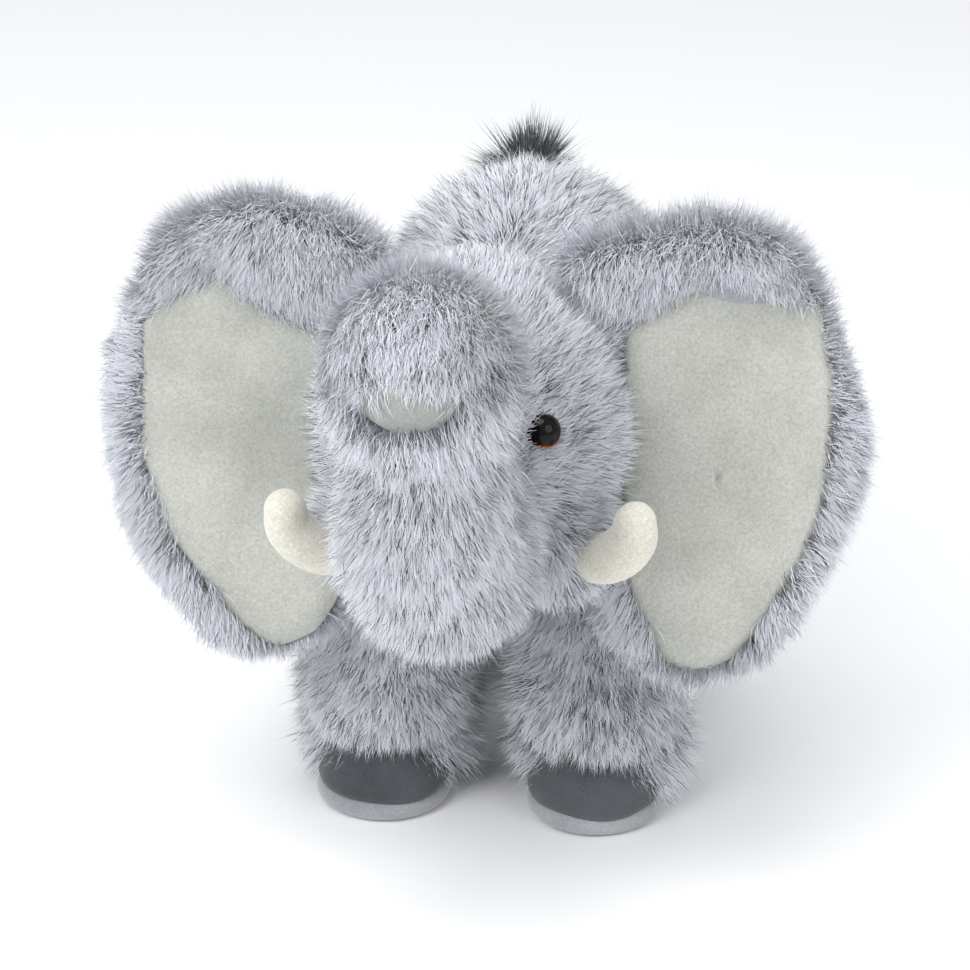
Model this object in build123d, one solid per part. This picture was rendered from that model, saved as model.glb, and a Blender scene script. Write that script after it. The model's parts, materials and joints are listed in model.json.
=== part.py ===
from build123d import *
import math
import os

# A standing plush elephant with large ears and a raised trunk. Millimetres, +Z up, floor at Z = 0.
# It faces -Y, its left side is +X, and it is symmetric about X = 0.
# A pile-fabric skin is one layer, as thick as its backing and its standing pile.

# Driving dimensions
PILE = 8.5
VELOUR = 2.0
GAP = 0.4
SOCKET_GAP = 1.4
SEAM_HALF = 13.0
REACH = 400.0
# The layout is measured from the front legs. This moves the origin to the middle of the length.
FRAME_Y = 14.27

CHEST_CENTRE = (0, 4, 168)
CHEST_RADIUS = 62.0
RUMP_CENTRE = (0, 58, 166)
RUMP_RADIUS = 66.0
BELLY_Z = 136.0

HEAD_CENTRE = (0, -62, 178)
HEAD_RADIUS = 58.0

LEG_X = 41.0
LEG_FRONT_Y = -18.0
LEG_REAR_Y = 84.0
HIP_Z = 100.0
LEG_RADIUS = 35.0
LEG_FLARE = 37.5
LEG_SWING = 12.0
HEM_Z = 9.0
HEM_TILT = 33.0
ANKLE_RADIUS = 21.0
CAP_BACK = 6.0

FOOT_RADIUS = 26.0
FOOT_FORWARD = 5.0
SOLE_HEIGHT = 8.0
SOLE_ROUND = 5.0

TRUNK_ROOT = (0, -98, 155)
TRUNK_ROOT_RADIUS = 34.0
TRUNK_BEND = (0, -137, 157)
TRUNK_BEND_RADIUS = 38.0
TRUNK_CURL = (0, -159, 198)
TRUNK_CURL_RADIUS = 32.0
TRUNK_END = (0, -166, 241)
TRUNK_END_RADIUS = 33.0
TRUNK_SWING = 18.0
TRUNK_LIFT = -9.0
TRUNK_ROOM = 1.5
CURL_LIP_DROP = 17.0
PAD_RADIUS = 17.0
PAD_DIRECTION = (0, -0.97, -0.24)

EAR_TILT = 8.0
EAR_HINGE_X = 62.0
EAR_HALF_THICK = 9.5
EAR_ROUND = 9.3
EAR_RIM = [
    (52.5, -96), (84, -106), (112, -88), (136, -44), (143, 6), (131, 50), (102, 79), (64, 83), (22, 62), (52.5, 42),
]
EAR_RIM_RADII = [14, 24, 30, 60, 60, 40, 28, 30, 11, 14]
EAR_PANEL = [
    (56, -72), (64, -90), (84, -92), (104, -74), (120, -42), (127, -10), (126, 20), (118, 42), (88, 52), (66, 40),
    (56, 30),
]
EAR_PANEL_RADII = [20, 14, 20, 40, 60, 60, 40, 10, 14, 20, 10]
EAR_PANEL_FACE = 5.5
EAR_BATTING = 4.5
EAR_GROOVE_LENGTH = 80.0

TUSK_RADIUS = 8.3
TUSK_ARC = [(28, -74, 140), (55, -101, 141), (62, -108, 160)]

EYE_DIRECTION = (29, -39, 10)
EYE_BASE = 51.5
EYE_RADIUS = 6.0
EYE_HEIGHT = 4.5
EYE_HOLE = 6.6
SHANK_RADIUS = 2.0
SHANK_LENGTH = 13.0
WASHER_RADIUS = 5.0
WASHER_THICK = 1.5
WASHER_DEPTH = 8.0

TAIL_ROOT = (0, 122, 186)
TAIL_ROOT_RADIUS = 11.5
TAIL_END = (0, 146, 203)
TAIL_END_RADIUS = 9.0
TAIL_PILE = 4.5
TAIL_SWING = 18.0
TUFT_CENTRE = (0, 151, 207)
TUFT_RADIUS = 18.0

SIDES = {"left": 1, "right": -1}
LEG_ROWS = {"front": LEG_FRONT_Y, "rear": LEG_REAR_Y}


def save(name, shape):
    """Write one node as one STEP file."""
    os.makedirs("parts", exist_ok=True)
    placed = Pos(0, FRAME_Y, 0) * shape
    placed.label = name
    export_step(placed, f"parts/{name}.step")


def ball(centre, radius):
    return Pos(Vector(*centre)) * Sphere(radius)


def along(start, direction):
    """The plane at a point whose normal is a direction in space."""
    return Plane(origin=start, z_dir=Vector(*direction).normalized())


def rod(start, direction, radius, length):
    """A cylinder from a point along a direction."""
    return along(start, direction) * Cylinder(radius, length, align=(Align.CENTER, Align.CENTER, Align.MIN))


def limb(start, start_radius, end, end_radius):
    """A round-ended taper between two balls, tangent to both."""
    first = Vector(*start)
    run = Vector(*end) - first
    tilt = math.asin((start_radius - end_radius) / run.length)
    near = (-start_radius, 0)
    leave = (start_radius * math.sin(tilt), start_radius * math.cos(tilt))
    meet = (run.length + end_radius * math.sin(tilt), end_radius * math.cos(tilt))
    far = (run.length + end_radius, 0)
    half_near = (tilt - math.pi / 2) / 2
    half_far = (tilt + math.pi / 2) / 2
    near_mid = (start_radius * math.sin(half_near), start_radius * math.cos(half_near))
    far_mid = (run.length + end_radius * math.sin(half_far), end_radius * math.cos(half_far))
    outline = [
        ThreePointArc(near, near_mid, leave),
        Line(leave, meet),
        ThreePointArc(meet, far_mid, far),
        Line(far, near),
    ]
    solid = revolve(make_face(outline), axis=Axis.X)
    side = Vector(1, 0, 0) if abs(run.X) < abs(run.Z) + abs(run.Y) else Vector(0, 1, 0)
    return Plane(origin=first, x_dir=run.normalized(), z_dir=run.cross(side).normalized()) * solid


def socket(centre, radius, direction, swing, length):
    """The room that a ball-rooted limb needs: its ball, and a cone that opens along the limb."""
    room = ball(centre, radius + SOCKET_GAP)
    mouth = radius + SOCKET_GAP + length * math.tan(math.radians(swing))
    cone = Cone(radius + SOCKET_GAP, mouth, length, align=(Align.CENTER, Align.CENTER, Align.MIN))
    return room + along(centre, direction) * cone


def block(low, high):
    """A box between two opposite corners."""
    size = [h - l for l, h in zip(low, high)]
    middle = [(h + l) / 2 for l, h in zip(low, high)]
    return Pos(*middle) * Box(*size)


def half(side):
    """All the space on one side of X = 0."""
    edges = sorted((0, side * REACH))
    return block((edges[0], -REACH, -REACH), (edges[1], REACH, REACH))


def leg_sockets():
    """The room for all four hips, cut out of the torso."""
    rooms = [
        socket((side * LEG_X, y, HIP_Z), LEG_RADIUS, (0, 0, -1), LEG_SWING, 60)
        for side in SIDES.values()
        for y in LEG_ROWS.values()
    ]
    return rooms


def make_torso():
    """Stuffed barrel body with two side panels that meet along the back, and a belly gusset."""
    tail_way = Vector(*TAIL_END) - Vector(*TAIL_ROOT)
    rooms = leg_sockets() + [
        ball(HEAD_CENTRE, HEAD_RADIUS + GAP),
        socket(TAIL_ROOT, TAIL_ROOT_RADIUS, tail_way, TAIL_SWING, 30),
    ]
    outer = limb(CHEST_CENTRE, CHEST_RADIUS, RUMP_CENTRE, RUMP_RADIUS)
    inner = limb(CHEST_CENTRE, CHEST_RADIUS - PILE, RUMP_CENTRE, RUMP_RADIUS - PILE)
    stuffing = inner
    skin = outer - inner
    for room in rooms:
        stuffing -= room
        skin -= room
    belly = block((-SEAM_HALF, -REACH, 0), (SEAM_HALF, REACH, BELLY_Z))
    save("torso_stuffing", stuffing)
    save("belly_gusset", skin & belly)
    for name, side in SIDES.items():
        save(f"torso_skin_{name}", (skin - belly) & half(side))


def trunk_rooms():
    """The room in the face for the trunk's root, and for its rise as it lifts."""
    way = Vector(*TRUNK_BEND) - Vector(*TRUNK_ROOT)
    rooms = [socket(TRUNK_ROOT, TRUNK_ROOT_RADIUS, way, TRUNK_SWING, 60)]
    pivot = Axis(TRUNK_ROOT, (1, 0, 0))
    rise = limb(
        TRUNK_BEND, TRUNK_BEND_RADIUS + TRUNK_ROOM, TRUNK_CURL, TRUNK_CURL_RADIUS + 1 + TRUNK_ROOM
    )
    for share in (0, 0.5, 1):
        rooms.append(rise.rotate(pivot, share * TRUNK_LIFT))
    return rooms


def ear_plane():
    tilt = math.radians(EAR_TILT)
    return Plane(origin=HEAD_CENTRE, x_dir=(1, 0, 0), z_dir=(0, -math.cos(tilt), math.sin(tilt)))


def ear_grooves():
    """The rounded channels in the head's sides that the ears' seams turn in."""
    run = Pos(EAR_HINGE_X, 0, 0) * Rot(90, 0, 0) * Cylinder(EAR_HALF_THICK + GAP, EAR_GROOVE_LENGTH)
    left = ear_plane() * run
    return [left, mirror(left, about=Plane.YZ)]


def make_head():
    """Stuffed ball head: two side panels, a gusset over the forehead, and the eyes set in it."""
    stuffing = ball(HEAD_CENTRE, HEAD_RADIUS - PILE)
    skin = ball(HEAD_CENTRE, HEAD_RADIUS) - stuffing
    rooms = trunk_rooms() + ear_grooves()
    for name, side in SIDES.items():
        rooms.append(make_eye(name, side))
    for room in rooms:
        stuffing -= room
        skin -= room
    gusset = block((-SEAM_HALF, -REACH, HEAD_CENTRE[2] - 20), (SEAM_HALF, REACH, REACH))
    save("head_stuffing", stuffing)
    save("head_gusset", skin & gusset)
    for name, side in SIDES.items():
        save(f"head_skin_{name}", (skin - gusset) & half(side))


def make_eye(name, side):
    """A domed safety eye with its shank and locking washer. Returns the room that it needs."""
    way = Vector(side * EYE_DIRECTION[0], EYE_DIRECTION[1], EYE_DIRECTION[2]).normalized()
    base = Vector(*HEAD_CENTRE) + way * EYE_BASE
    curve = (EYE_RADIUS**2 + EYE_HEIGHT**2) / (2 * EYE_HEIGHT)
    lean = math.asin(EYE_RADIUS / curve) / 2
    shoulder = (curve * math.sin(lean), EYE_HEIGHT - curve * (1 - math.cos(lean)))
    profile = make_face([
        Polyline((0, EYE_HEIGHT), (0, -SHANK_LENGTH), (SHANK_RADIUS, -SHANK_LENGTH), (SHANK_RADIUS, 0)),
        Line((SHANK_RADIUS, 0), (EYE_RADIUS, 0)),
        ThreePointArc((EYE_RADIUS, 0), shoulder, (0, EYE_HEIGHT)),
    ])
    eye = along(base, way) * (Rot(90, 0, 0) * revolve(profile, axis=Axis.Y))
    shank = rod(base, way * -1, SHANK_RADIUS, SHANK_LENGTH)
    washer = rod(base - way * WASHER_DEPTH, way * -1, WASHER_RADIUS, WASHER_THICK) - shank
    save(f"eye_{name}", eye)
    save(f"eye_washer_{name}", washer)
    return rod(base, way, EYE_HOLE, 20) + shank + washer


def make_trunk():
    """The trunk's lower half, from the face round the bend, and its curled end with the pad."""
    bend_way = Vector(*TRUNK_CURL) - Vector(*TRUNK_BEND)
    above = along(Vector(*TRUNK_CURL) - bend_way.normalized() * CURL_LIP_DROP, bend_way)
    top = above * Cylinder(80, 120, align=(Align.CENTER, Align.CENTER, Align.MIN))
    layers = []
    for pile in (0, PILE):
        low = limb(TRUNK_ROOT, TRUNK_ROOT_RADIUS - pile, TRUNK_BEND, TRUNK_BEND_RADIUS - pile)
        rise = limb(TRUNK_BEND, TRUNK_BEND_RADIUS - pile, TRUNK_CURL, TRUNK_CURL_RADIUS + 1 - pile)
        layers.append((low + (rise - top)) - ball(TRUNK_CURL, TRUNK_CURL_RADIUS + GAP))
    skin = layers[0] - layers[1]
    save("trunk_base_stuffing", layers[1])
    for name, side in SIDES.items():
        save(f"trunk_base_skin_{name}", skin & half(side))

    outer = limb(TRUNK_CURL, TRUNK_CURL_RADIUS, TRUNK_END, TRUNK_END_RADIUS)
    inner = limb(TRUNK_CURL, TRUNK_CURL_RADIUS - PILE, TRUNK_END, TRUNK_END_RADIUS - PILE)
    window = rod(TRUNK_END, PAD_DIRECTION, PAD_RADIUS, 60)
    nap = PILE - VELOUR
    bulge = limb(TRUNK_CURL, TRUNK_CURL_RADIUS - nap, TRUNK_END, TRUNK_END_RADIUS - nap)
    pad = (bulge - inner) & window
    save("trunk_tip_stuffing", inner)
    save("trunk_tip_skin", outer - inner - window)
    save("trunk_tip_pad", pad)


def make_tusks():
    """Curved, round-ended tusks in short-pile cloth over stuffing, sewn to the face."""
    arc = ThreePointArc(*TUSK_ARC)
    layers = []
    for nap in (0, VELOUR):
        section = Plane(origin=arc @ 0, z_dir=arc % 0) * Circle(TUSK_RADIUS - nap)
        tube = sweep(section, path=arc) + ball(arc @ 1, TUSK_RADIUS - nap)
        layers.append(tube - ball(HEAD_CENTRE, HEAD_RADIUS))
    cover = layers[0] - layers[1]
    save("tusk_cover_left", cover)
    save("tusk_cover_right", mirror(cover, about=Plane.YZ))
    save("tusk_stuffing_left", layers[1])
    save("tusk_stuffing_right", mirror(layers[1], about=Plane.YZ))


def make_ears():
    """A pile back that rolls over the rim, thin batting, and a short-pile front panel."""
    plane = ear_plane()
    face = make_face(FilletPolyline(*EAR_RIM, radius=EAR_RIM_RADII, close=True))
    slab = Pos(0, 0, -EAR_HALF_THICK) * extrude(face, 2 * EAR_HALF_THICK)
    faces = slab.faces().filter_by(Axis.Z)
    slab = fillet(faces.edges(), EAR_ROUND)
    panel = make_face(FilletPolyline(*EAR_PANEL, radius=EAR_PANEL_RADII, close=True))
    floor = EAR_PANEL_FACE - VELOUR - EAR_BATTING
    pocket = Pos(0, 0, floor) * extrude(panel, REACH)
    batting = Pos(0, 0, floor) * extrude(panel, EAR_BATTING)
    front = Pos(0, 0, floor + EAR_BATTING) * extrude(panel, VELOUR)
    for part_name, solid in (("ear_back", slab - pocket), ("ear_batting", batting), ("ear_front", front)):
        left = plane * solid
        save(f"{part_name}_left", left)
        save(f"{part_name}_right", mirror(left, about=Plane.YZ))


def leg_profile(radius, ankle, bottom):
    """Half the outline of a leg: a ball at the hip, a straight thigh, and an ankle of its own radius."""
    outline = [
        Line((0, bottom), (ankle - 3, bottom)),
        Spline(
            (ankle - 3, bottom), (ankle, bottom + 14), (radius, bottom + 50),
            tangents=[(1, 0.6), (0, 1)],
        ),
        Line((radius, bottom + 50), (radius, HIP_Z)),
        ThreePointArc(
            (radius, HIP_Z),
            (radius * math.cos(math.pi / 4), HIP_Z + radius * math.sin(math.pi / 4)),
            (0, HIP_Z + radius),
        ),
        Line((0, HIP_Z + radius), (0, bottom)),
    ]
    return revolve(Rot(90, 0, 0) * make_face(outline), axis=Axis.Z)


def make_legs():
    """Four stuffed legs, each a pile sleeve over stuffing, with a toe cap and a puffy sole."""
    foot_centre = (0, -FOOT_FORWARD, SOLE_HEIGHT)
    foot = ball(foot_centre, FOOT_RADIUS)
    foot_core = ball(foot_centre, FOOT_RADIUS - VELOUR)
    above_sole = block((-REACH, -REACH, SOLE_HEIGHT), (REACH, REACH, REACH))
    core = leg_profile(LEG_RADIUS - PILE, ANKLE_RADIUS, SOLE_HEIGHT) + (foot_core & above_sole)
    hem = Pos(0, 0, HEM_Z) * Rot(-HEM_TILT, 0, 0) * Pos(0, -REACH / 2, 0)
    below_hem = hem * Box(REACH, REACH, REACH, align=(Align.CENTER, Align.CENTER, Align.MAX))
    toe_zone = above_sole & block((-REACH, -REACH, 0), (REACH, CAP_BACK - FOOT_FORWARD, REACH))
    toe_cap = (foot - core) & toe_zone
    sleeve = leg_profile(LEG_RADIUS, LEG_FLARE, HEM_Z) - core - toe_cap - below_hem
    sole = Pos(0, -FOOT_FORWARD, 0) * Cylinder(
        FOOT_RADIUS, SOLE_HEIGHT, align=(Align.CENTER, Align.CENTER, Align.MIN)
    )
    sole = fillet(sole.edges().group_by(Axis.Z)[0], SOLE_ROUND)
    for row, y in LEG_ROWS.items():
        for name, side in SIDES.items():
            place = Pos(side * LEG_X, y, 0)
            save(f"leg_stuffing_{row}_{name}", place * core)
            save(f"leg_sleeve_{row}_{name}", place * sleeve)
            save(f"toe_cap_{row}_{name}", place * toe_cap)
            save(f"sole_{row}_{name}", place * sole)


def make_tail():
    """A short stuffed tail that stands out from the rump, with a bristly tuft on its end."""
    outer = limb(TAIL_ROOT, TAIL_ROOT_RADIUS, TAIL_END, TAIL_END_RADIUS)
    inner = limb(TAIL_ROOT, TAIL_ROOT_RADIUS - TAIL_PILE, TAIL_END, TAIL_END_RADIUS - TAIL_PILE)
    save("tail_stuffing", inner)
    save("tail_skin", outer - inner)
    save("tail_tuft", ball(TUFT_CENTRE, TUFT_RADIUS) - outer)


make_torso()
make_head()
make_trunk()
make_tusks()
make_ears()
make_legs()
make_tail()
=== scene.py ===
import json
import math

import bmesh
import bpy
import numpy as np
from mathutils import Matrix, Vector
from mathutils.bvhtree import BVHTree


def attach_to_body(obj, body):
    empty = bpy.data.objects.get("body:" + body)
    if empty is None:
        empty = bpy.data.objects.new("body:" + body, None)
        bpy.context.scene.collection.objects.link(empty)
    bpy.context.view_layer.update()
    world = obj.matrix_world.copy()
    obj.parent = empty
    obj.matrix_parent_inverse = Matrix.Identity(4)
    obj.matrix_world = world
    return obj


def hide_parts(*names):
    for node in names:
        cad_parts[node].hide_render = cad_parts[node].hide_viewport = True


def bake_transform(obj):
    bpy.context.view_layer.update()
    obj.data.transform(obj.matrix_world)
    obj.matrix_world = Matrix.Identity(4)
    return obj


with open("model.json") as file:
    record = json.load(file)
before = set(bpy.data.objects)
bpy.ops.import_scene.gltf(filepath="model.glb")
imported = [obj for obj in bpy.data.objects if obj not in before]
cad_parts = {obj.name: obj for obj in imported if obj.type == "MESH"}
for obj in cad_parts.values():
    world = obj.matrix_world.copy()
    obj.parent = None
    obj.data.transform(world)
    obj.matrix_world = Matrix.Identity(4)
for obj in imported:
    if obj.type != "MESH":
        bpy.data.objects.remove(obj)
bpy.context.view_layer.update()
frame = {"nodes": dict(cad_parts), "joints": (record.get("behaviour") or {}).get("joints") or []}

# A standing plush elephant. Lengths are millimetres in the layout's own axes, unless a name says otherwise:
# it faces -Y, its left side is +X, and the floor is Z = 0. The neck joint, at the head's middle, ties the
# layout to the frame.
MM = 0.001
JOINTS = {joint["name"]: joint for joint in frame["joints"]}
HEAD = np.array([0.0, -62.0, 178.0])
ORIGIN = np.array(JOINTS["neck_nod"]["pos_m"]) - HEAD * MM

SIDES = {"left": 1, "right": -1}
LEG_ROWS = {"front": -18.0, "rear": 84.0}

ACROSS = np.array([1.0, 0.0, 0.0])
LEVEL = np.array([1.0, 1.0, 0.0])
UP = np.array([0.0, 0.0, 1.0])


def metres(points):
    """Layout millimetres to metres in the frame."""
    return np.asarray(points, float) * MM + ORIGIN


def unit(vectors):
    """The vectors at length 1."""
    vectors = np.asarray(vectors, float)
    return vectors / np.maximum(np.linalg.norm(vectors, axis=-1, keepdims=True), 1e-9)


def smoothstep(low, high, values):
    """0 up to low and 1 from high on, with a soft change between. low may be the larger."""
    t = np.clip((np.asarray(values, float) - low) / (high - low), 0, 1)
    return t * t * (3 - 2 * t)


DRIFT_WAVES = 5
DRIFT_SIZE = 2.6


def drift(points, scale, seed):
    """Smooth vector noise, each part roughly from -1 to 1, that changes over a distance of scale."""
    rng = np.random.default_rng(seed)
    total = np.zeros((len(points), 3))
    for _ in range(DRIFT_WAVES):
        waves = rng.normal(size=(3, 3)) * (1.3 / scale)
        total += np.sin(points @ waves.T + rng.uniform(0, 2 * math.pi, 3))
    return total / DRIFT_SIZE


def circle(count):
    """Angles spread evenly round a circle."""
    return np.linspace(0, 2 * math.pi, count, endpoint=False)


# Camera and light

CAMERA_AZIMUTH = 8.0
CAMERA_ELEVATION = 24.0
CAMERA_DISTANCE = 1300.0
CAMERA_TARGET = (-5.0, 0.0, 123.0)
CAMERA_LENS = 126.9
SENSOR_WIDTH = 36.0
FAR_CLIP_M = 20.0

# Each light's place, the height that it is aimed at and its width, in metres, and its power in watts.
LIGHTS = {
    "key": ((-0.8, -1.3, 1.25), 0.14, 1.1, 19),
    "fill": ((1.3, -0.9, 0.9), 0.12, 1.2, 7),
    "top": ((-0.2, -0.4, 1.7), 0.1, 1.2, 13),
}
SKY_COLOUR = (0.95, 0.97, 1.0, 1)
SKY_STRENGTH = 0.7
FLOOR_REACH_M = 6.0
FLOOR_COLOUR = (0.93, 0.93, 0.93, 1)


def make_camera():
    azimuth, elevation = math.radians(CAMERA_AZIMUTH), math.radians(CAMERA_ELEVATION)
    back = Vector((
        math.sin(azimuth) * math.cos(elevation),
        -math.cos(azimuth) * math.cos(elevation),
        math.sin(elevation),
    ))
    camera = bpy.data.objects.new("camera", bpy.data.cameras.new("camera"))
    bpy.context.collection.objects.link(camera)
    camera.data.lens = CAMERA_LENS
    camera.data.sensor_width = SENSOR_WIDTH
    camera.data.clip_end = FAR_CLIP_M
    camera.location = Vector(metres(CAMERA_TARGET)) + back * CAMERA_DISTANCE * MM
    camera.rotation_euler = (-back).to_track_quat("-Z", "Y").to_euler()
    bpy.context.scene.camera = camera


def area_light(name, place, aim, size, power):
    light = bpy.data.lights.new(name, "AREA")
    light.shape = "DISK"
    light.size = size
    light.energy = power
    holder = bpy.data.objects.new(name, light)
    bpy.context.collection.objects.link(holder)
    holder.location = place
    holder.rotation_euler = (Vector((0, 0, aim)) - Vector(place)).to_track_quat("-Z", "Y").to_euler()


def make_floor():
    reach = FLOOR_REACH_M
    mesh = bpy.data.meshes.new("floor")
    corners = [(-reach, -reach, 0), (reach, -reach, 0), (reach, reach, 0), (-reach, reach, 0)]
    mesh.from_pydata(corners, [], [(0, 1, 2, 3)])
    floor = bpy.data.objects.new("floor", mesh)
    bpy.context.collection.objects.link(floor)
    pale, _, _, shader = new_material("floor")
    shader.inputs["Base Color"].default_value = FLOOR_COLOUR
    shader.inputs["Roughness"].default_value = 0.9
    mesh.materials.append(pale)


def make_studio():
    scene = bpy.context.scene
    scene.view_settings.view_transform = "Standard"
    world = bpy.data.worlds.new("studio")
    scene.world = world
    world.use_nodes = True
    background = world.node_tree.nodes["Background"]
    background.inputs["Color"].default_value = SKY_COLOUR
    background.inputs["Strength"].default_value = SKY_STRENGTH
    for name, (place, aim, size, power) in LIGHTS.items():
        area_light(name, place, aim, size, power)
    make_floor()


# Materials

LOCK_DARK = 0.86
LOCK_LIGHT = 1.1
NAP_PATCH = 28.0
NAP_RELIEF = 0.35
NAP_DEPTH_M = 0.0006


def new_material(name):
    """A material with its nodes, its links and its shader."""
    material = bpy.data.materials.new(name)
    material.use_nodes = True
    tree = material.node_tree
    return material, tree.nodes, tree.links, tree.nodes["Principled BSDF"]


def ramp(nodes, stops):
    """A colour ramp through (position, colour) stops."""
    node = nodes.new("ShaderNodeValToRGB")
    elements = node.color_ramp.elements
    elements[0].position, elements[0].color = stops[0][0], (*stops[0][1], 1)
    elements[1].position, elements[1].color = stops[-1][0], (*stops[-1][1], 1)
    for place, colour in stops[1:-1]:
        elements.new(place).color = (*colour, 1)
    return node


def multiplied(nodes, links, one, other, share=1.0):
    """The colour of one output times the colour of another."""
    mix = nodes.new("ShaderNodeMix")
    mix.data_type = "RGBA"
    mix.blend_type = "MULTIPLY"
    mix.inputs["Factor"].default_value = share
    links.new(one, mix.inputs["A"])
    links.new(other, mix.inputs["B"])
    return mix.outputs["Result"]


def split_layout(nodes, links):
    """The node of the OFBake layout, and a node whose X and Y are its two coordinates."""
    place = nodes.new("ShaderNodeUVMap")
    place.uv_map = "OFBake"
    split = nodes.new("ShaderNodeSeparateXYZ")
    links.new(place.outputs["UV"], split.inputs["Vector"])
    return place, split


def pile_material(name, root, middle, tip, sheen=0.8):
    """Pile: dark at the root and pale at the tip, where V runs up a strand and U is its lock's tone. The
    dark root is partly the pile's own colour and partly painted shade deep in the pile.
    """
    material, nodes, links, shader = new_material(name)
    _, split = split_layout(nodes, links)
    along = ramp(nodes, [(0.0, root), (0.45, middle), (1.0, tip)])
    links.new(split.outputs["Y"], along.inputs["Fac"])
    tone = ramp(nodes, [(0.0, (LOCK_DARK,) * 3), (1.0, (LOCK_LIGHT,) * 3)])
    links.new(split.outputs["X"], tone.inputs["Fac"])
    colour = multiplied(nodes, links, along.outputs["Color"], tone.outputs["Color"])
    links.new(colour, shader.inputs["Base Color"])
    shader.inputs["Roughness"].default_value = 0.8
    shader.inputs["Specular IOR Level"].default_value = 0.2
    shader.inputs["Sheen Weight"].default_value = sheen
    shader.inputs["Sheen Roughness"].default_value = 0.5
    return material


def noise(nodes, links, source, scale, detail, roughness):
    """A noise texture read at the source's places."""
    node = nodes.new("ShaderNodeTexNoise")
    node.inputs["Scale"].default_value = scale
    node.inputs["Detail"].default_value = detail
    node.inputs["Roughness"].default_value = roughness
    links.new(source, node.inputs["Vector"])
    return node


def velour_material(name, low, high, speck=900.0, sheen=0.5):
    """Short pile: patches where the nap is brushed, a fine speckle of fibres, and sheen at the edges."""
    material, nodes, links, shader = new_material(name)
    place = nodes.new("ShaderNodeTexCoord")
    patches = noise(nodes, links, place.outputs["Object"], NAP_PATCH, 3.0, 0.55)
    fibres = noise(nodes, links, place.outputs["Object"], speck, 2.0, 0.7)
    wide = ramp(nodes, [(0.35, low), (0.68, high)])
    links.new(patches.outputs["Fac"], wide.inputs["Fac"])
    fine = ramp(nodes, [(0.3, (0.8,) * 3), (0.7, (1.12,) * 3)])
    links.new(fibres.outputs["Fac"], fine.inputs["Fac"])
    colour = multiplied(nodes, links, wide.outputs["Color"], fine.outputs["Color"])
    links.new(colour, shader.inputs["Base Color"])
    relief = nodes.new("ShaderNodeBump")
    relief.inputs["Strength"].default_value = NAP_RELIEF
    relief.inputs["Distance"].default_value = NAP_DEPTH_M
    links.new(fibres.outputs["Fac"], relief.inputs["Height"])
    links.new(relief.outputs["Normal"], shader.inputs["Normal"])
    shader.inputs["Roughness"].default_value = 0.9
    shader.inputs["Specular IOR Level"].default_value = 0.15
    shader.inputs["Sheen Weight"].default_value = sheen
    shader.inputs["Sheen Roughness"].default_value = 0.6
    return material


# Surfaces


def new_mesh(name, places, faces):
    mesh = bpy.data.meshes.new(name)
    mesh.from_pydata([tuple(place) for place in metres(places)], [], faces)
    return mesh


def new_object(name, mesh, material):
    mesh.materials.clear()
    mesh.materials.append(material)
    piece = bpy.data.objects.new(name, mesh)
    bpy.context.collection.objects.link(piece)
    return piece


def smooth_faces(mesh):
    mesh.polygons.foreach_set("use_smooth", np.ones(len(mesh.polygons), bool))
    mesh.update()


def outward(mesh):
    """Makes a closed mesh's faces look outwards."""
    build = bmesh.new()
    build.from_mesh(mesh)
    bmesh.ops.recalc_face_normals(build, faces=build.faces)
    build.to_mesh(mesh)
    build.free()
    smooth_faces(mesh)


LUMP_WIDE = 26
LUMP_FINE = 11


def blob(name, balls, voxel, smooth, lump=0.0, seed=1):
    """One closed skin round a set of balls and eggs, given as (centre, radii) in millimetres."""
    build = bmesh.new()
    for centre, radii in balls:
        made = bmesh.ops.create_icosphere(build, subdivisions=4, radius=1.0)["verts"]
        for vertex in made:
            vertex.co = Vector(metres(np.array(centre) + np.array(vertex.co) * np.array(radii)))
    mesh = bpy.data.meshes.new(name + "_rough")
    build.to_mesh(mesh)
    build.free()
    rough = bpy.data.objects.new(name + "_rough", mesh)
    bpy.context.collection.objects.link(rough)
    remesh = rough.modifiers.new("skin", "REMESH")
    remesh.mode = "VOXEL"
    remesh.voxel_size = voxel * MM
    relax = rough.modifiers.new("relax", "SMOOTH")
    relax.factor = 0.5
    relax.iterations = smooth
    graph = bpy.context.evaluated_depsgraph_get()
    final = bpy.data.meshes.new_from_object(rough.evaluated_get(graph))
    final.name = name
    bpy.data.objects.remove(rough)
    bpy.data.meshes.remove(mesh)
    smooth_faces(final)
    if lump:
        places, normals, _ = read(final)
        push = drift(places, LUMP_WIDE, seed)[:, :1] + 0.5 * drift(places, LUMP_FINE, seed + 1)[:, :1]
        write_places(final, places + normals * push * lump)
    return final


def read(mesh):
    """Places in layout millimetres, vertex normals and triangles of a mesh."""
    count = len(mesh.vertices)
    places = np.empty(count * 3, np.float32)
    mesh.vertices.foreach_get("co", places)
    normals = np.empty(count * 3, np.float32)
    mesh.vertex_normals.foreach_get("vector", normals)
    mesh.calc_loop_triangles()
    triangles = np.empty(len(mesh.loop_triangles) * 3, np.int32)
    mesh.loop_triangles.foreach_get("vertices", triangles)
    places = (places.reshape(-1, 3) - ORIGIN) / MM
    return places, normals.reshape(-1, 3).astype(float), triangles.reshape(-1, 3)


def write_places(mesh, places):
    mesh.vertices.foreach_set("co", metres(places).astype(np.float32).ravel())
    mesh.update()


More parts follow.
